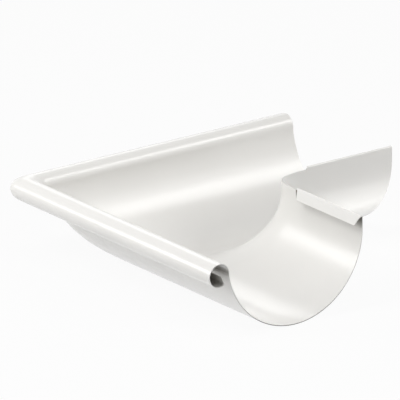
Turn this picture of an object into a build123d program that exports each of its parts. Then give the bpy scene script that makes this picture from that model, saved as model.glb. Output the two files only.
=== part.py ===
from build123d import *
import math
import os

# External corner of a half-round roof gutter, pressed and folded from one coated steel sheet.
# Two equal runs meet at a right angle, one along +X and one along +Y.
# The rolled bead is on the outside of the turn, and the folded hem is on the building side.
# The origin is on the underside, where the centre lines of the two troughs cross.

# Trough
trough_radius = 62.5  # inside, so that a gutter 125 mm wide lies in it
sheet = 0.6  # thickness of the sheet with its coat
run_length = 177.5  # crossing of the centre lines to either open end
back_edge_rise = 7.5  # plain back edge above the trough's centre

# Front wall, and the open bead rolled outwards from it
front_wall_inset = 1.2  # wall's top stands this far inside the half circle's widest line
front_wall_height = 12.0  # end of the half circle to the level of the bead's centre
bead_radius = 9.3  # outside
bead_drop = 10.0  # bead's centre below the trough's centre
bead_turn = 290.0  # degrees of roll before the lip's bend
lip_bend_radius = 2.0  # outside
lip_bend = 92.5  # degrees
lip_length = 5.3

# Hem folded over into the trough along each run's back edge
hem_rise = 9.7  # crest above the trough's centre
hem_bend_radius = 1.2  # outside, both bends
hem_crest_bend = 118.0  # degrees, from the wall to the hem's narrow top
hem_top = 2.0  # straight part of the top
hem_flap_bend = 19.0  # degrees, from the top to the flap
hem_flap = 6.4  # bend to free edge
hem_start = 97.6  # crest's end nearest the corner, from the crossing of the centre lines
hem_step = 1.2  # slanted step from the plain edge up to the crest, along the run
hem_slant = 8.5  # flap's free edge starts this much further out than the crest

# Rounding of the corner seen from above
trough_setback = 8.9  # middle of the rounding, from where the runs would meet in a sharp corner
trough_corner_reach = 22.5  # end of the rounding, from the mitre
bead_setback = 3.5
bead_corner_reach = 6.5
span_steps = 4  # sections along each span of the corner

# Worked out from the sizes above
mitre = Plane(origin=(0, 0, 0), x_dir=(1, 1, 0), z_dir=(1, -1, 0))
mitre_stretch = math.sqrt(2)  # a run's section is this much wider along the mitre
outer_radius = trough_radius + sheet
centre_height = outer_radius
bead_height = centre_height - bead_drop
bead_reach = trough_radius - front_wall_inset + bead_radius
front_wall_angle = 180 + math.degrees(math.asin((bead_drop + front_wall_height) / trough_radius))
corner_reaches = [trough_corner_reach, bead_corner_reach]
corner_breaks = sorted(corner_reaches + [-reach for reach in corner_reaches])
corner_reach = max(corner_reaches)


def around(centre, across, up, angle):
    """Point of an ellipse at an angle in degrees, from its half widths across and up."""
    turn = math.radians(angle)
    return (centre[0] + across * math.cos(turn), centre[1] + up * math.sin(turn))


def arc(centre, across, up, start, size):
    """Draw a stretch of an ellipse, or of a true circle where the half widths agree."""
    if across == up:
        CenterArc(centre, up, start, size)
    else:
        EllipticalCenterArc(centre, across, up, start, arc_size=size)


def plan_shift(station, setback, reach):
    """Shift along the mitre, this far to its side, of a line that turns the corner.

    The setback fades out smoothly from the mitre to the rounding's reach.
    """
    fade = max(1 - (station / reach) ** 2, 0)
    return math.hypot(station, setback * fade)


def sheet_face(depth, stretch, trough_shift, bead_shift):
    """Draw one face of the sheet and return its two ends.

    The trough's side has depth 0, and the far side has the sheet's thickness. The section is
    stretched sideways, and then its trough and its bead are shifted sideways.
    """
    # Back wall and trough
    radius = trough_radius + depth
    centre = (trough_shift, centre_height)
    back_top = around(centre, stretch * radius, radius, 0)
    back_edge = (back_top[0], back_top[1] + back_edge_rise)
    Line(back_edge, back_top)
    arc(centre, stretch * radius, radius, front_wall_angle, 360 - front_wall_angle)

    # Bead, the bend of its lip, and the straight lip inside it
    roll = bead_radius - depth
    bead_centre = (bead_shift - stretch * bead_reach, bead_height)
    arc(bead_centre, stretch * roll, roll, 0, bead_turn)
    bend = lip_bend_radius - depth
    bend_gap = bead_radius - lip_bend_radius
    bend_centre = around(bead_centre, stretch * bend_gap, bend_gap, bead_turn)
    lip_angle = bead_turn + lip_bend
    arc(bend_centre, stretch * bend, bend, bead_turn, lip_bend)
    lip_root = around(bend_centre, stretch * bend, bend, lip_angle)
    lip_end = around(lip_root, stretch * lip_length, lip_length, lip_angle + 90)
    Line(lip_root, lip_end)

    # Front wall, tangent to the trough below and to the bead above
    handle = front_wall_height / 3
    wall_foot = around(centre, stretch * radius, radius, front_wall_angle)
    foot_handle = around(wall_foot, stretch * handle, handle, front_wall_angle - 90)
    wall_top = around(bead_centre, stretch * roll, roll, 0)
    top_handle = (wall_top[0], wall_top[1] - handle)
    Bezier(wall_foot, foot_handle, top_handle, wall_top)
    return back_edge, lip_end


def hem_face(depth):
    """Draw one face of the hem across a run and return its two ends."""
    radius = hem_bend_radius - depth
    centre = (outer_radius - hem_bend_radius, centre_height + hem_rise - hem_bend_radius)
    root = (centre[0] + radius, centre_height + back_edge_rise)
    Line(root, (root[0], centre[1]))
    arc(centre, radius, radius, 0, hem_crest_bend)
    top_start = around(centre, radius, radius, hem_crest_bend)
    top_end = around(top_start, hem_top, hem_top, hem_crest_bend + 90)
    Line(top_start, top_end)
    fold = around(centre, hem_top, hem_top, hem_crest_bend + 90)
    arc(fold, radius, radius, hem_crest_bend, hem_flap_bend)
    flap_angle = hem_crest_bend + hem_flap_bend
    flap_root = around(fold, radius, radius, flap_angle)
    flap_edge = around(flap_root, hem_flap, hem_flap, flap_angle + 90)
    Line(flap_root, flap_edge)
    return root, flap_edge


def close_section(near_ends, far_ends):
    """Draw the cut edges that join the ends of the sheet's two faces."""
    for near, far in zip(near_ends, far_ends):
        Line(near, far)


def sheet_section(stretch, trough_shift, bead_shift):
    """Draw the sheet's whole section, stretched and shifted as its faces are."""
    trough_side = sheet_face(0, stretch, trough_shift, bead_shift)
    far_side = sheet_face(sheet, stretch, trough_shift, bead_shift)
    close_section(trough_side, far_side)


with BuildPart() as gutter_corner:
    # Straight run along X, from its square end to the side of the rounded corner
    with BuildSketch(Plane.YZ.offset(run_length)):
        with BuildLine():
            sheet_section(1, 0, 0)
        make_face()
    extrude(amount=-(run_length + bead_reach + bead_radius))
    split(bisect_by=mitre.offset(corner_reach), keep=Keep.TOP)

    # Hem on the run's back edge
    with BuildSketch(Plane.YZ.offset(run_length)):
        with BuildLine():
            outside = hem_face(0)
            inside = hem_face(sheet)
            close_section(outside, inside)
        make_face()
    extrude(amount=hem_start - hem_step - run_length)

    # The hem's inner end is cut on a slant, up the wall to the crest and then across its top and flap
    step_foot = (hem_start - hem_step, centre_height + back_edge_rise)
    crest = (hem_start, centre_height + hem_rise)
    with BuildSketch(Plane.XZ):
        Polygon(step_foot, crest, (step_foot[0], crest[1]), align=None)
    extrude(amount=-outer_radius, mode=Mode.SUBTRACT)
    flap_line = outer_radius - hem_bend_radius
    free_edge = min(outside[1][0], inside[1][0])
    with BuildSketch(Plane.XY.offset(centre_height)):
        Polygon(
            (step_foot[0], flap_line),
            (hem_start, flap_line),
            (hem_start + hem_slant, free_edge),
            (step_foot[0], free_edge),
            align=None,
        )
    extrude(amount=hem_rise, mode=Mode.SUBTRACT)

    # The run along Y is the mirror image
    mirror(about=mitre)

    # Rounded corner between the runs, in spans that end where one of the roundings starts
    for near, far in zip(corner_breaks, corner_breaks[1:]):
        for step in range(span_steps + 1):
            station = near + (far - near) * step / span_steps
            with BuildSketch(mitre.offset(station)):
                with BuildLine():
                    sheet_section(
                        mitre_stretch,
                        plan_shift(station, trough_setback, trough_corner_reach),
                        plan_shift(station, bead_setback, bead_corner_reach),
                    )
                make_face()
        loft()

gutter_corner.part.label = "gutter_corner"
os.makedirs("parts", exist_ok=True)
export_step(gutter_corner.part, "parts/gutter_corner.step")
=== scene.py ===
"""Looks of an external corner for a half-round roof gutter, pressed from white coated steel sheet."""

import logging
import math
from dataclasses import dataclass, field
from enum import Enum, IntEnum

import bpy
import numpy as np
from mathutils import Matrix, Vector


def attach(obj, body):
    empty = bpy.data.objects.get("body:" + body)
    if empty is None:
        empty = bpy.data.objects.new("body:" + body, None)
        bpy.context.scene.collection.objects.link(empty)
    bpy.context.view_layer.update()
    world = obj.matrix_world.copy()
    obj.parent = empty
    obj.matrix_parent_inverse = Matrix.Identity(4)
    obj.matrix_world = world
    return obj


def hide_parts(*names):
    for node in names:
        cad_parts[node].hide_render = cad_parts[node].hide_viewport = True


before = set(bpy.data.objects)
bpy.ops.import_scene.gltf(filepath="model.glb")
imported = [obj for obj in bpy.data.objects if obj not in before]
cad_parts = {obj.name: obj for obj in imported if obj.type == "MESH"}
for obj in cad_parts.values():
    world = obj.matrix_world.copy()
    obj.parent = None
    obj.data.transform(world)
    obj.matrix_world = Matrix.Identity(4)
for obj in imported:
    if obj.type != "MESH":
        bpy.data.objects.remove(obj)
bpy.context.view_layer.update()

log = logging.getLogger("gutter_corner")

Colour = tuple[float, float, float]

MM = 0.001
ROOT_TWO = math.sqrt(2.0)
WHITE = (1.0, 1.0, 1.0, 1.0)
# Point attribute of painted shade: a dark colour painted inside the bead, in the hem's fold and on the wall
# under the hem, where shade falls
PAINTED_SHADE_SHARE = "painted_shade_share"

# Places of the points of a straight line, close together at its ends so that flat parts look flat
FLAT_SHARES = (0.0, 0.03, 0.2, 0.4, 0.7, 0.97, 1.0)


class SheetSide(Enum):
    """Which face of the sheet is meant."""

    TROUGH = "the face that carries the water, and the outside of the bead"
    FAR = "the face under the trough, and the inside of the bead"


class FinishSlot(IntEnum):
    """Place of a finish in the sheet's list of materials."""

    COAT = 0
    EDGE = 1


@dataclass(frozen=True)
class Section:
    """One face of the sheet across a run, as a row of points.

    Attributes:
        across: Place across the run, from the trough's centre line, in millimetres.
        height: Height above the floor, in millimetres.
        bead_share: 0 where a point turns the corner with the trough, 1 where it does with the bead.
    """

    across: np.ndarray
    height: np.ndarray
    bead_share: np.ndarray


def arc(middle: np.ndarray, size: float, start: float, end: float, count: int) -> np.ndarray:
    """Points of a circle of this size round its middle, from one angle to another, in degrees."""
    turn = np.radians(np.linspace(start, end, count))[:, None]
    return middle + size * np.hstack([np.cos(turn), np.sin(turn)])


def towards(start: np.ndarray, length: float, angle: float) -> np.ndarray:
    """Point at this length from the start, in the direction of an angle in degrees."""
    return arc(start, length, angle, angle, 1)[0]


def line(start: np.ndarray, end: np.ndarray) -> np.ndarray:
    """Points of a straight line, at the flat shares of its length."""
    return start + (end - start) * np.array(FLAT_SHARES)[:, None]


def direction(azimuth: float, elevation: float) -> Vector:
    """Work out the direction of a place round the object.

    With azimuth a and elevation e it is (sin a cos e, -cos a cos e, sin e).

    Args:
        azimuth: Angle round the object in degrees, 0 being the -Y side and 90 the +X side.
        elevation: Angle above the horizon, in degrees.

    Returns:
        A vector of length 1 from the object towards the place.
    """
    turn = math.radians(azimuth)
    rise = math.radians(elevation)
    return Vector((math.sin(turn) * math.cos(rise), -math.cos(turn) * math.cos(rise), math.sin(rise)))


class NodeTree:
    """Short ways of adding and joining shader nodes."""

    def __init__(self, tree: bpy.types.NodeTree) -> None:
        """Empty a node tree and keep it."""
        self.tree = tree
        tree.nodes.clear()

    def add(self, kind: str, inputs: dict | None = None, **settings: object) -> bpy.types.Node:
        """Add a node.

        Args:
            kind: Blender's name for the type of node.
            inputs: Values or output sockets for the node's inputs, by name or number.
            settings: Values for the node's own properties.

        Returns:
            The new node.
        """
        node = self.tree.nodes.new(kind)
        for name, value in settings.items():
            setattr(node, name, value)
        for name, value in (inputs or {}).items():
            if isinstance(value, bpy.types.NodeSocket):
                self.tree.links.new(value, node.inputs[name])
            else:
                node.inputs[name].default_value = value
        return node

    def noise(self, place: bpy.types.NodeSocket, scale: float, detail: float) -> bpy.types.NodeSocket:
        """Add a soft noise of this many patches to a metre, and return its value."""
        inputs = {"Vector": place, "Scale": scale, "Detail": detail}
        return self.add("ShaderNodeTexNoise", inputs).outputs[0]

    def fade(
        self,
        factor: bpy.types.NodeSocket,
        ends: tuple[float, float],
        colours: tuple[Colour, Colour],
    ) -> bpy.types.NodeSocket:
        """Add a change from one colour to another.

        Args:
            factor: Socket that drives the change.
            ends: Values of the factor where the change starts and where it ends.
            colours: Colour before the change and colour after it.

        Returns:
            The colour socket.
        """
        node = self.add("ShaderNodeValToRGB", {0: factor})
        for element, place, colour in zip(node.color_ramp.elements, ends, colours):
            element.position = place
            element.color = (*colour, 1.0)
        return node.outputs[0]


@dataclass(frozen=True)
class SatinCoat:
    """White satin coat of baked paint on steel sheet.

    Attributes:
        name: Name of the material.
        colour: Paint where the coat is at its usual thickness.
        thin_colour: Paint where the coat is a little thinner.
        painted_shade_colour: Dark colour painted in as shade inside the bead, in the hem's fold and under
            the hem.
        drift_scale: Slow drifts of the coat to a metre.
        drift_detail: Finer steps in those drifts.
        drift_ends: Values of the drift between which the paint's colour changes.
        speck_scale: Fine specks to a metre.
        speck_detail: Finer steps in those specks.
        speck_share: Share of the specks in the drift of the coat.
        roughness: Lowest and highest roughness of the paint.
        roughness_ends: Values of the drift between which the roughness changes.
        peel_size: Width of one dimple of the paint's orange peel, in millimetres.
        peel_depth: Depth of that dimple, in millimetres.
        ior: Index of refraction of the paint.
        gloss_weight: Share of the clear top layer.
        gloss_roughness: Roughness of the clear top layer.
    """

    name: str = "satin_coat"
    colour: Colour = (0.814, 0.803, 0.775)
    thin_colour: Colour = (0.806, 0.795, 0.767)
    # Dark colour painted in as shade inside the folds and under the hem
    painted_shade_colour: Colour = (0.12, 0.108, 0.085)
    drift_scale: float = 22.0
    drift_detail: float = 4.0
    drift_ends: tuple[float, float] = (0.35, 0.65)
    speck_scale: float = 420.0
    speck_detail: float = 2.0
    speck_share: float = 0.15
    roughness: tuple[float, float] = (0.28, 0.31)
    roughness_ends: tuple[float, float] = (0.3, 0.7)
    peel_size: float = 1.4
    peel_depth: float = 0.0005
    ior: float = 1.5
    gloss_weight: float = 0.8
    gloss_roughness: float = 0.2

    def build(self) -> bpy.types.Material:
        """Make the material.

        Returns:
            Paint whose colour and roughness drift slightly over the sheet, with a fine orange peel,
            and a dark colour painted in as shade inside the folds.
        """
        material = bpy.data.materials.new(self.name)
        material.use_nodes = True
        nodes = NodeTree(material.node_tree)
        place = nodes.add("ShaderNodeTexCoord").outputs["Object"]
        slow = nodes.noise(place, self.drift_scale, self.drift_detail)
        speck = nodes.noise(place, self.speck_scale, self.speck_detail)
        peel = nodes.noise(place, 1.0 / (self.peel_size * MM), 1.0)
        drift = nodes.add("ShaderNodeMix", {"Factor": self.speck_share, 2: slow, 3: speck}).outputs[0]
        paint = nodes.fade(drift, self.drift_ends, (self.thin_colour, self.colour))
        # Painted shade: the attribute mixes a dark colour into the paint inside the bead, in the hem's fold
        # and under the hem
        painted_shade = nodes.add("ShaderNodeAttribute", attribute_name=PAINTED_SHADE_SHARE).outputs["Fac"]
        colour = nodes.add(
            "ShaderNodeMix",
            {"Factor": painted_shade, 6: paint, 7: (*self.painted_shade_colour, 1.0)},
            data_type="RGBA",
        )
        dull = nodes.add(
            "ShaderNodeMapRange",
            {
                "Value": drift,
                "From Min": self.roughness_ends[0],
                "From Max": self.roughness_ends[1],
                "To Min": self.roughness[0],
                "To Max": self.roughness[1],
            },
        )
        bump = nodes.add(
            "ShaderNodeBump",
            {"Height": peel, "Strength": 1.0, "Distance": self.peel_depth * MM},
        )
        surface = nodes.add(
            "ShaderNodeBsdfPrincipled",
            {
                "Base Color": colour.outputs[2],
                "Roughness": dull.outputs[0],
                "Normal": bump.outputs[0],
                "IOR": self.ior,
                "Coat Weight": self.gloss_weight,
                "Coat Roughness": self.gloss_roughness,
            },
        )
        nodes.add("ShaderNodeOutputMaterial", {"Surface": surface.outputs[0]})
        return material


@dataclass(frozen=True)
class CutEdge:
    """Cut edge of the sheet, grey zinc painted darker towards the floor as shade, and paint-coloured higher
    up.

    Attributes:
        name: Name of the material.
        paint: Colour where paint has run over the edge.
        shaded_zinc: Colour low down, the cut's grey zinc painted darker as shade near the floor.
        shaded_to: Height up to which the edge has that dark colour, painted shade near the floor, in
            millimetres.
        unshaded_from: Height from which the edge has the paint's colour, clear of the painted shade, in
            millimetres.
        patch_scale: Small patches of paint to a metre.
        patch_detail: Finer steps in those patches.
        patch_share: Share of the patches in the change from the dark grey to the paint's colour.
        change_ends: Values between which the dark grey changes to the paint's colour.
        roughness: Roughness all along the edge.
    """

    name: str = "cut_edge"
    paint: Colour = (0.62, 0.612, 0.59)
    shaded_zinc: Colour = (0.22, 0.22, 0.213)
    shaded_to: float = 8.0
    unshaded_from: float = 28.0
    patch_scale: float = 160.0
    patch_detail: float = 3.0
    patch_share: float = 0.3
    change_ends: tuple[float, float] = (0.15, 0.85)
    roughness: float = 0.55

    def build(self) -> bpy.types.Material:
        """Make the material.

        Returns:
            Dull grey, painted darker towards the floor as shade, that turns patchily to paint with the
            height.
        """
        material = bpy.data.materials.new(self.name)
        material.use_nodes = True
        nodes = NodeTree(material.node_tree)
        place = nodes.add("ShaderNodeTexCoord").outputs["Object"]
        height = nodes.add("ShaderNodeSeparateXYZ", {0: place}).outputs["Z"]
        # Painted shade: the edge is darkest near the floor and lightens with the height
        out_of_shade = nodes.add(
            "ShaderNodeMapRange",
            {"Value": height, "From Min": self.shaded_to * MM, "From Max": self.unshaded_from * MM},
        )
        patch = nodes.noise(place, self.patch_scale, self.patch_detail)
        share = nodes.add("ShaderNodeMix", {"Factor": self.patch_share, 2: out_of_shade.outputs[0], 3: patch})
        colour = nodes.fade(share.outputs[0], self.change_ends, (self.shaded_zinc, self.paint))
        surface = nodes.add(
            "ShaderNodeBsdfPrincipled",
            {"Base Color": colour, "Roughness": self.roughness},
        )
        nodes.add("ShaderNodeOutputMaterial", {"Surface": surface.outputs[0]})
        return material


@dataclass
class GutterCorner:
    """The corner as one folded sheet, with the sizes of the CAD part.

    A section of the sheet is carried along a run, round the rounded corner, and along the other run.
    Lengths are in millimetres and angles in degrees.

    Attributes:
        name: Name of the piece.
        trough_radius: Inside of the half-round trough.
        sheet: Thickness of the sheet.
        run_length: Crossing of the centre lines to either open end.
        back_edge_rise: Plain back edge above the trough's centre.
        front_wall_inset: Front wall's top inside the half circle's widest line.
        front_wall_height: End of the half circle to the level of the bead's centre.
        bead_radius: Outside of the bead.
        bead_drop: Bead's centre below the trough's centre.
        bead_turn: Roll of the bead before the lip's bend.
        lip_bend_radius: Outside of the lip's bend.
        lip_bend: Turn of the lip's bend.
        lip_length: Straight part of the lip.
        hem_rise: Hem's crest above the trough's centre.
        hem_bend_radius: Outside of the hem's two bends.
        hem_crest_bend: Turn from the wall to the hem's narrow top.
        hem_top: Straight part of the hem's top.
        hem_flap_bend: Turn from the top to the flap.
        hem_flap: Flap from its bend to its free edge.
        hem_start: Crest's end nearest the corner, from the crossing of the centre lines.
        hem_step: Slanted step from the plain edge up to the crest, along the run.
        hem_slant: Start of the flap's free edge, further out than the crest's.
        trough_setback: Middle of the trough's rounding, back from a sharp corner.
        trough_corner_reach: End of the trough's rounding, from the mitre.
        bead_setback: Middle of the bead's rounding, back from a sharp corner.
        bead_corner_reach: End of the bead's rounding, from the mitre.
        painted_shade_depth: Full painted shade on the wall under the hem, down from the plain edge's
            height.
        painted_shade_fade: Height over which the painted shade below that gives way to paint.
        painted_shade_spread: Stations of painted shade on the wall past the hem's start.
        bead_painted_shade: Share of painted shade inside the bead.
        mouth_painted_shade: Share of painted shade at the bead's open ends, where light gets in.
        trough_points: Points of the trough's arc.
        front_wall_points: Points of the front wall.
        bead_points: Points of the bead's arc.
        lip_bend_points: Points of the lip's bend.
        hem_crest_points: Points of the hem's first bend.
        hem_fold_points: Points of the hem's second bend.
        hem_stations: Stations along a run where it has its hem.
        plain_stations: Stations from there to the rounding.
        corner_stations: Stations from there to the mitre.
        sharp_angle: Angle between faces from which their shared edge looks sharp.
        piece: The object, once it is built.
    """

    name: str = "gutter_corner_sheet"
    trough_radius: float = 62.5
    sheet: float = 0.6
    run_length: float = 177.5
    back_edge_rise: float = 7.5
    front_wall_inset: float = 1.2
    front_wall_height: float = 12.0
    bead_radius: float = 9.3
    bead_drop: float = 10.0
    bead_turn: float = 290.0
    lip_bend_radius: float = 2.0
    lip_bend: float = 92.5
    lip_length: float = 5.3
    hem_rise: float = 9.7
    hem_bend_radius: float = 1.2
    hem_crest_bend: float = 118.0
    hem_top: float = 2.0
    hem_flap_bend: float = 19.0
    hem_flap: float = 6.4
    hem_start: float = 97.6
    hem_step: float = 1.2
    hem_slant: float = 8.5
    trough_setback: float = 8.9
    trough_corner_reach: float = 22.5
    bead_setback: float = 3.5
    bead_corner_reach: float = 6.5
    # Painted shade: a dark colour in the folds, under the hem and just past its start, where shade falls
    painted_shade_depth: float = 2.0
    painted_shade_fade: float = 5.0
    painted_shade_spread: int = 2
    bead_painted_shade: float = 0.6
    mouth_painted_shade: float = 0.2
    trough_points: int = 101
    front_wall_points: int = 15
    bead_points: int = 73
    lip_bend_points: int = 13
    hem_crest_points: int = 13
    hem_fold_points: int = 7
    hem_stations: int = 7
    plain_stations: int = 4
    corner_stations: int = 44
    sharp_angle: float = 35.0
    piece: bpy.types.Object | None = field(default=None, repr=False)

    @property
    def outer_radius(self) -> float:
        """Radius of the trough's underside, which is also the height of its centre."""
        return self.trough_radius + self.sheet

    @property
    def edge_height(self) -> float:
        """Height of the plain back edge."""
        return self.outer_radius + self.back_edge_rise

    @property
    def hem_foot(self) -> float:
        """Place along a run where the hem's slanted step leaves the plain edge."""
        return self.hem_start - self.hem_step

    def section(self, side: SheetSide) -> Section:
        """Work out one face of the sheet across a run, from the back edge to the end of the lip.

        The face is a straight wall, an arc of the trough, a cubic curve that leaves the arc and meets
        the bead along their tangents, the bead's arc, the arc of the lip's bend, and the straight lip.
        On the cubic, the share of the bead is the sum of the weights of its two upper control points.

        Args:
            side: The face wanted.

        Returns:
            The points of the face.
        """
        depth = 0.0 if side is SheetSide.TROUGH else self.sheet
        radius = self.trough_radius + depth
        roll = self.bead_radius - depth
        bend = self.lip_bend_radius - depth

        middle = np.array([0.0, self.outer_radius])
        foot_drop = self.bead_drop + self.front_wall_height
        foot_angle = 180.0 + math.degrees(math.asin(foot_drop / self.trough_radius))
        trough = arc(middle, radius, 360.0, foot_angle, self.trough_points)
        wall = line(trough[0] + [0.0, self.back_edge_rise], trough[0])

        bead_reach = self.trough_radius - self.front_wall_inset + self.bead_radius
        bead_middle = middle - [bead_reach, self.bead_drop]
        bead = arc(bead_middle, roll, 0.0, self.bead_turn, self.bead_points)
        bend_middle = towards(bead_middle, self.bead_radius - self.lip_bend_radius, self.bead_turn)
        lip_angle = self.bead_turn + self.lip_bend
        lip_root = arc(bend_middle, bend, self.bead_turn, lip_angle, self.lip_bend_points)
        lip = line(lip_root[-1], towards(lip_root[-1], self.lip_length, lip_angle + 90.0))

        handle = self.front_wall_height / 3.0
        foot_handle = towards(trough[-1], handle, foot_angle - 90.0)
        top_handle = bead[0] - [0.0, handle]
        share = np.linspace(0.0, 1.0, self.front_wall_points)
        rest = 1.0 - share
        weights = np.stack([rest**3, 3.0 * share * rest**2, 3.0 * share**2 * rest, share**3], axis=1)
        front = weights @ np.stack([trough[-1], foot_handle, top_handle, bead[0]])

        points = np.concatenate([wall[:-1], trough, front[1:-1], bead, lip_root[1:], lip[1:]])
        with_trough = np.zeros(len(wall) - 1 + len(trough))
        between = weights[1:-1, 2:].sum(axis=1)
        with_bead = np.ones(len(points) - len(with_trough) - len(between))
        bead_share = np.concatenate([with_trough, between, with_bead])
        return Section(points[:, 0], points[:, 1], bead_share)

    @staticmethod
    def plan_shift(station: np.ndarray, setback: float, reach: float) -> np.ndarray:
        """Shift along the mitre of a line that turns the corner.

        The shift is the long side of a right-angled triangle. One short side is the distance to the
        mitre, and the other is the setback, which fades out by one less the square of the distance
        over the reach.

        Args:
            station: Distances to the mitre plane.
            setback: Middle of the rounding, from where the runs would meet in a sharp corner.
            reach: End of the rounding, from the mitre.

        Returns:
            The shift at each distance.
        """
        fade = np.maximum(1.0 - (station / reach) ** 2, 0.0)
        return np.hypot(station, setback * fade)

    def sheet_points(self, side: SheetSide) -> np.ndarray:
        """Carry a face's section along the first run, round the corner, and along the second run.

        Along the run the stations are square to it, and lean over from the hem's foot to the side of the
        corner. In the corner they are parallel to the mitre, closer together near the run, and the section
        is shifted along the mitre, its trough and its bead each by their own rounding. The second run
        swaps X and Y.

        Args:
            side: The face wanted.

        Returns:
            Points in a grid, one row for each point of the section, one column for each station.
        """
        section = self.section(side)
        across = section.across[:, None]
        bead_share = section.bead_share[:, None]
        reach = self.trough_corner_reach
        hem = np.linspace(self.run_length, self.hem_foot, self.hem_stations)[None, :] + 0.0 * across
        share = np.linspace(0.0, 1.0, self.plain_stations + 1)[None, 1:]
        plain = self.hem_foot + (across + ROOT_TWO * reach - self.hem_foot) * share
        along_run = np.hstack([hem, plain])
        run = np.stack([along_run, across + 0.0 * along_run], axis=2)

        turn = np.linspace(math.pi / 2.0, 0.0, self.corner_stations + 1)[None, 1:]
        station = reach * np.sin(turn)
        trough_shift = self.plan_shift(station, self.trough_setback, reach)
        bead_shift = self.plan_shift(station, self.bead_setback, self.bead_corner_reach)
        shift = (1.0 - bead_share) * trough_shift + bead_share * bead_shift
        corner_x = across + (shift + station) / ROOT_TWO
        corner_y = across + (shift - station) / ROOT_TWO
        corner = np.stack([corner_x, corner_y], axis=2)

        half = np.hstack([run, corner])
        plan = np.hstack([half, half[:, -2::-1, ::-1]])
        height = np.broadcast_to(section.height[:, None, None], (*plan.shape[:2], 1))
        return np.concatenate([plan, height], axis=2)

    def hem_profile(self, radius: float) -> np.ndarray:
        """Work out a face of the hem across a run.

        It is the arc of the crest, the straight top, the arc of the fold and the straight flap.

        Args:
            radius: Radius of this face at both bends.

        Returns:
            Points as rows of the place across the run and the height.
        """
        middle = np.array([self.outer_radius, self.outer_radius + self.hem_rise]) - self.hem_bend_radius
        fold = towards(middle, self.hem_top, self.hem_crest_bend + 90.0)
        lean = self.hem_crest_bend + self.hem_flap_bend
        crest = arc(middle, radius, 0.0, self.hem_crest_bend, self.hem_crest_points)
        bend = arc(fold, radius, self.hem_crest_bend, lean, self.hem_fold_points)
        top = line(crest[-1], bend[0])[1:-1]
        flap = line(bend[-1], towards(bend[-1], self.hem_flap, lean + 90.0))[1:]
        return np.concatenate([crest, top, bend, flap])

    def hem_points(self, side: SheetSide) -> np.ndarray:
        """Work out a face of the hem on the first run.

        Each point of the profile has a line from the open end to its own start. The starts follow the
        slanted step up to the crest, and then slant on across the top and the flap in proportion to the
        distance from the crest. Both faces take their starts from the outside.

        Args:
            side: The face wanted.

        Returns:
            Points in a grid, one row for each point of the hem, one column for each station.
        """
        outside = self.hem_profile(self.hem_bend_radius)
        inside = self.hem_profile(self.hem_bend_radius - self.sheet)
        points = outside if side is SheetSide.FAR else inside
        crest_line = self.outer_radius - self.hem_bend_radius
        rise = (outside[:, 1] - self.edge_height) / (self.hem_rise - self.back_edge_rise)
        slant = (crest_line - outside[:, 0]) / (crest_line - outside[-1, 0])
        up_step = self.hem_foot + self.hem_step * rise
        across_flap = self.hem_start + self.hem_slant * slant
        start = np.where(slant < 0.0, up_step, across_flap)
        share = np.linspace(0.0, 1.0, self.hem_stations)[None, :]
        along = self.run_length + (start[:, None] - self.run_length) * share
        flat = np.ones_like(along)
        return np.stack([along, points[:, :1] * flat, points[:, 1:] * flat], axis=2)

    def face_points(self, side: SheetSide) -> np.ndarray:
        """Put together all points of one face.

        Args:
            side: The face wanted.

        Returns:
            Points as rows: the sheet's grid, the first run's hem, and the second run's, its mirror image.
        """
        hem = self.hem_points(side)
        mirrored = hem[:, :, [1, 0, 2]]
        grids = (self.sheet_points(side), hem, mirrored)
        return np.concatenate([grid.reshape(-1, 3) for grid in grids])

    def painted_shade_share(self) -> np.ndarray:
        """Work out where the sheet has painted shade, a dark colour inside its folds, where shade falls.

        On the far face that is everything from the start of the bead's roll, with less of it at the open
        ends, where light gets in. On the near face it is the inside of the hem, and the top
        of the wall under the hem and just past its start, where it fades out downwards in a straight line.

        Returns:
            1 on painted shade and 0 on paint, for each point of the near face and then of the far face.
        """
        section = self.section(SheetSide.FAR)
        columns = self.sheet_points(SheetSide.FAR).shape[1]
        hem_size = self.hem_points(SheetSide.FAR)[..., 0].size

        # Painted shade on the wall under the hem, full at the top and fading downwards
        below_edge = self.edge_height - section.height
        under_hem = np.clip(1.0 - (below_edge - self.painted_shade_depth) / self.painted_shade_fade, 0.0, 1.0)
        under_hem = np.where(section.across > 0.0, under_hem, 0.0)
        hemmed = np.zeros(columns)
        spread = self.hem_stations + self.painted_shade_spread
        hemmed[:spread] = 1.0
        hemmed[-spread:] = 1.0
        near = np.concatenate([np.outer(under_hem, hemmed).ravel(), np.ones(2 * hem_size)])

        # Painted shade inside the bead's roll, less at the open ends
        rolled = section.bead_share >= 1.0
        inside_bead = np.full(columns, self.bead_painted_shade)
        inside_bead[[0, -1]] = self.mouth_painted_shade
        far = np.concatenate([np.outer(rolled, inside_bead).ravel(), np.zeros(2 * hem_size)])
        return np.concatenate([near, far])

    @staticmethod
    def quads(grid: np.ndarray) -> np.ndarray:
        """Four corners of each cell of a grid of vertex numbers, as rows of four."""
        cells = np.stack([grid[:-1, :-1], grid[:-1, 1:], grid[1:, 1:], grid[1:, :-1]], axis=2)
        return cells.reshape(-1, 4)

    def face_cells(self) -> np.ndarray:
        """Join the points of one face: the sheet's grid, and each hem's grid to the sheet's back edge.

        Returns:
            Cells as rows of four vertex numbers.
        """
        rows, columns = self.sheet_points(SheetSide.TROUGH).shape[:2]
        hem_rows, count = self.hem_points(SheetSide.TROUGH).shape[:2]
        sheet = np.arange(rows * columns).reshape(rows, columns)
        hem = sheet.size + np.arange(hem_rows * count).reshape(hem_rows, count)
        mirrored = hem + hem.size
        first_hem = np.vstack([hem[::-1], sheet[:1, :count]])
        second_hem = np.vstack([mirrored[::-1, ::-1], sheet[:1, -count:]])
        return np.concatenate([self.quads(grid) for grid in (sheet, first_hem, second_hem)])

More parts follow.
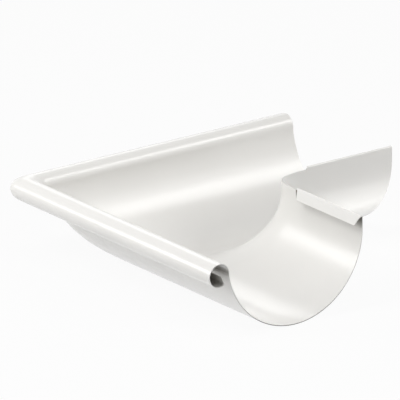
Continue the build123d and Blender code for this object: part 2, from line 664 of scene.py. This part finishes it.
    def build(self) -> bpy.types.Object:
        """Make the sheet's mesh: both faces, and strips along every cut edge between them.

        An edge of a face is a cut edge where no neighbouring cell uses it in the other direction. Its
        strip joins it to the same edge on the other face.

        Returns:
            The new object, riding on the part's body in place of the CAD node.
        """
        near = self.face_points(SheetSide.TROUGH)
        far = self.face_points(SheetSide.FAR)
        cells = self.face_cells()
        total = len(near)
        starts = cells.ravel()
        ends = np.roll(cells, -1, axis=1).ravel()
        cut = ~np.isin(starts * total + ends, ends * total + starts)
        starts, ends = starts[cut], ends[cut]
        strips = np.stack([ends, starts, starts + total, ends + total], axis=1)
        polygons = np.concatenate([cells, cells[:, ::-1] + total, strips])
        finish = np.full(len(polygons), FinishSlot.COAT, np.int32)
        finish[-len(strips):] = FinishSlot.EDGE

        mesh = bpy.data.meshes.new(self.name)
        mesh.from_pydata(np.concatenate([near, far]) * MM, [], polygons.tolist())
        mesh.polygons.foreach_set("material_index", finish)
        mesh.polygons.foreach_set("use_smooth", np.ones(len(polygons), bool))
        # Painted shade: a dark colour in the folds and under the hem, carried by a point attribute
        painted_shade = mesh.attributes.new(PAINTED_SHADE_SHARE, "FLOAT", "POINT")
        painted_shade.data.foreach_set("value", self.painted_shade_share().astype(np.float32))
        mesh.set_sharp_from_angle(angle=math.radians(self.sharp_angle))
        mesh.update()

        self.piece = bpy.data.objects.new(self.name, mesh)
        bpy.context.scene.collection.objects.link(self.piece)
        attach(self.piece, "root")
        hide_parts("gutter_corner")
        return self.piece

    def dress(self, coat: SatinCoat, edge: CutEdge) -> None:
        """Give the sheet its coat and its cut edges theirs, in the order of their slots.

        Args:
            coat: Finish of the sheet's faces.
            edge: Finish of its cut edges.
        """
        finishes = {FinishSlot.COAT: coat, FinishSlot.EDGE: edge}
        for slot in FinishSlot:
            self.piece.data.materials.append(finishes[slot].build())


@dataclass(frozen=True)
class Softbox:
    """One soft lamp that faces the object.

    Attributes:
        name: Name of the lamp.
        azimuth: Direction of the lamp round the object, in degrees, 0 being the -Y side and 90 the +X side.
        elevation: Height of the lamp above the horizon, in degrees.
        size: Width and height of the lamp, in metres.
        radiance: Brightness of the lamp's face.
        distance: Distance of the lamp from the middle of the object, in metres.
    """

    name: str
    azimuth: float
    elevation: float
    size: tuple[float, float]
    radiance: float
    distance: float = 1.6


@dataclass(frozen=True)
class WhiteCard:
    """Narrow white card on the floor along one run, which throws light up on the run's back.

    Attributes:
        name: Name of the lamp that stands for the card.
        middle: Middle of the card, in metres.
        size: Width and length of the card, in metres.
        radiance: Brightness of the card, a little under the white that the floor shows.
    """

    name: str = "white_card"
    middle: tuple[float, float, float] = (0.07, 0.16, 0.002)
    size: tuple[float, float] = (0.05, 0.20)
    radiance: float = 0.83


@dataclass
class Studio:
    """Pale floor, white surroundings, soft lamps and a white card.

    Attributes:
        middle: Point that the lamps face, in metres.
        floor_colour: Colour of the floor where it lights the object.
        floor_half_width: Half of the floor's width, in metres.
        floor_gap: Floor below the part's underside, in metres.
        shadow_share: Share of the floor's own light and shadow in what is seen of it, the rest being white.
        ambient: Even light of the surroundings on the object.
        lamps: The soft lamps.
        card: The white card.
    """

    middle: tuple[float, float, float] = (0.05, 0.05, 0.03)
    floor_colour: Colour = (0.66, 0.66, 0.66)
    floor_half_width: float = 6.0
    floor_gap: float = 0.0002
    shadow_share: float = 0.06
    ambient: float = 0.12
    lamps: tuple[Softbox, ...] = (
        Softbox("high_lamp", 0.0, 50.0, (0.6, 0.6), 9.4),
        Softbox("top_lamp", 0.0, 76.0, (0.7, 0.7), 3.8),
        Softbox("bead_lamp", 320.0, 15.0, (0.6, 0.6), 3.8),
        Softbox("front_lamp", 335.0, 24.0, (0.6, 0.6), 6.9),
        Softbox("wall_lamp", 105.0, 30.0, (0.6, 0.6), 8.7),
        Softbox("trough_side_lamp", 135.0, 34.0, (0.6, 0.6), 1.4),
        Softbox("trough_lamp", 145.0, 40.0, (0.5, 0.5), 4.0),
        Softbox("low_back_lamp", 200.0, 5.0, (0.8, 0.3), 10.0),
        Softbox("back_lamp", 240.0, 30.0, (0.6, 0.6), 1.13),
    )
    card: WhiteCard = WhiteCard()

    @staticmethod
    def seen_rays(nodes: NodeTree) -> bpy.types.NodeSocket:
        """Add a test for rays that show the background.

        Args:
            nodes: Node tree to add the test to.

        Returns:
            Socket that is 1 for the camera's own rays and for rays in gloss or glass, and 0 for all others.
        """
        path = nodes.add("ShaderNodeLightPath").outputs
        direct = nodes.add(
            "ShaderNodeMath",
            {0: path["Is Camera Ray"], 1: path["Is Glossy Ray"]},
            operation="MAXIMUM",
        )
        seen = nodes.add(
            "ShaderNodeMath",
            {0: direct.outputs[0], 1: path["Is Transmission Ray"]},
            operation="MAXIMUM",
        )
        return seen.outputs[0]

    def build_floor(self) -> bpy.types.Object:
        """Make the floor.

        Returns:
            A wide flat sheet just under the part, white where it is seen and pale grey where it lights.
        """
        half, low = self.floor_half_width, -self.floor_gap
        corners = np.array([[-half, -half, low], [half, -half, low], [half, half, low], [-half, half, low]])
        mesh = bpy.data.meshes.new("floor")
        mesh.from_pydata(corners, [], [[0, 1, 2, 3]])
        floor = bpy.data.objects.new("floor", mesh)
        bpy.context.scene.collection.objects.link(floor)

        material = bpy.data.materials.new("pale_floor")
        material.use_nodes = True
        nodes = NodeTree(material.node_tree)
        white_share = nodes.add(
            "ShaderNodeMath",
            {0: self.seen_rays(nodes), 1: 1.0 - self.shadow_share},
            operation="MULTIPLY",
        )
        matt = nodes.add("ShaderNodeBsdfDiffuse", {"Color": (*self.floor_colour, 1.0)})
        white = nodes.add("ShaderNodeEmission", {"Color": WHITE, "Strength": 1.0})
        mixed = nodes.add(
            "ShaderNodeMixShader",
            {0: white_share.outputs[0], 1: matt.outputs[0], 2: white.outputs[0]},
        )
        nodes.add("ShaderNodeOutputMaterial", {"Surface": mixed.outputs[0]})
        mesh.materials.append(material)
        return floor

    def build_world(self) -> None:
        """Make the surroundings: white to the camera and in gloss, and an even soft light elsewhere."""
        world = bpy.data.worlds.new("studio")
        world.use_nodes = True
        nodes = NodeTree(world.node_tree)
        strength = nodes.add(
            "ShaderNodeMapRange",
            {"Value": self.seen_rays(nodes), "To Min": self.ambient, "To Max": 1.0},
        )
        light = nodes.add("ShaderNodeBackground", {"Color": WHITE, "Strength": strength.outputs[0]})
        nodes.add("ShaderNodeOutputWorld", {"Surface": light.outputs[0]})
        bpy.context.scene.world = world

    @staticmethod
    def glow(source: Softbox | WhiteCard) -> bpy.types.Object:
        """Make an area lamp of a source's size and brightness, at the origin and facing down.

        Args:
            source: The lamp or card.

        Returns:
            The lamp, whose power is its brightness times its area times pi.
        """
        width, height = source.size
        area = math.pi / 4.0 * width * height
        light = bpy.data.lights.new(source.name, "AREA")
        light.shape = "ELLIPSE"
        light.size = width
        light.size_y = height
        light.energy = source.radiance * area * math.pi
        made = bpy.data.objects.new(source.name, light)
        bpy.context.scene.collection.objects.link(made)
        return made

    def build_card(self) -> bpy.types.Object:
        """Make the white card, facing up, which the camera sees as plain floor.

        Returns:
            The card's lamp.
        """
        made = self.glow(self.card)
        made.location = self.card.middle
        made.rotation_euler = (math.pi, 0.0, 0.0)
        made.visible_camera = False
        return made

    def build_lamp(self, lamp: Softbox) -> bpy.types.Object:
        """Make one lamp.

        Args:
            lamp: Its place, size and brightness.

        Returns:
            An area lamp that faces the middle of the object.
        """
        made = self.glow(lamp)
        back = direction(lamp.azimuth, lamp.elevation)
        made.location = Vector(self.middle) + back * lamp.distance
        made.rotation_euler = back.to_track_quat("Z", "Y").to_euler()
        return made

    def build(self) -> None:
        """Make the floor, the surroundings, the lamps and the card, and set plain colours."""
        self.build_floor()
        self.build_world()
        self.build_card()
        for lamp in self.lamps:
            self.build_lamp(lamp)
        bpy.context.scene.view_settings.view_transform = "Standard"


@dataclass(frozen=True)
class LongLens:
    """Camera far off, so that parallel edges stay parallel.

    Attributes:
        name: Name of the camera.
        azimuth: Direction of the camera round the object, in degrees.
        elevation: Height of the camera above the horizon, in degrees.
        half_angle: Half of the angle of view, in degrees.
        frame_width: Width of what the picture shows at the aimed point, in metres.
        aim: Point in the middle of the picture, in metres.
        sensor_width: Width of the camera's sensor, in millimetres.
        near_limit: Nearest distance that the camera shows, in metres.
        far_limit: Furthest distance that the camera shows, in distances to the aimed point.
    """

    name: str = "long_lens"
    azimuth: float = 53.366
    elevation: float = 19.189
    half_angle: float = 0.62
    frame_width: float = 0.3014
    aim: tuple[float, float, float] = (0.02434, 0.02532, 0.05038)
    sensor_width: float = 36.0
    near_limit: float = 0.1
    far_limit: float = 2.0

    def build(self) -> bpy.types.Object:
        """Make the camera and set it as the scene's own.

        Returns:
            The camera.
        """
        spread = math.tan(math.radians(self.half_angle))
        distance = self.frame_width / 2.0 / spread
        back = direction(self.azimuth, self.elevation)
        data = bpy.data.cameras.new(self.name)
        data.sensor_width = self.sensor_width
        data.lens = self.sensor_width / 2.0 / spread
        data.clip_start = self.near_limit
        data.clip_end = self.far_limit * distance
        camera = bpy.data.objects.new(self.name, data)
        bpy.context.scene.collection.objects.link(camera)
        camera.location = Vector(self.aim) + back * distance
        camera.rotation_mode = "QUATERNION"
        camera.rotation_quaternion = (-back).to_track_quat("-Z", "Y")
        bpy.context.scene.camera = camera
        return camera


def main() -> None:
    """Build the corner, the studio and the camera, and report each."""
    logging.basicConfig(level=logging.INFO, format="%(name)s: %(message)s")
    corner = GutterCorner()
    sheet = corner.build()
    corner.dress(SatinCoat(), CutEdge())
    log.info("%s: %d faces", sheet.name, len(sheet.data.polygons))
    studio = Studio()
    studio.build()
    log.info("studio: %d lamps and a card", len(studio.lamps))
    camera = LongLens().build()
    log.info("%s: %.0f mm", camera.name, camera.data.lens)


if __name__ == "__main__":
    main()
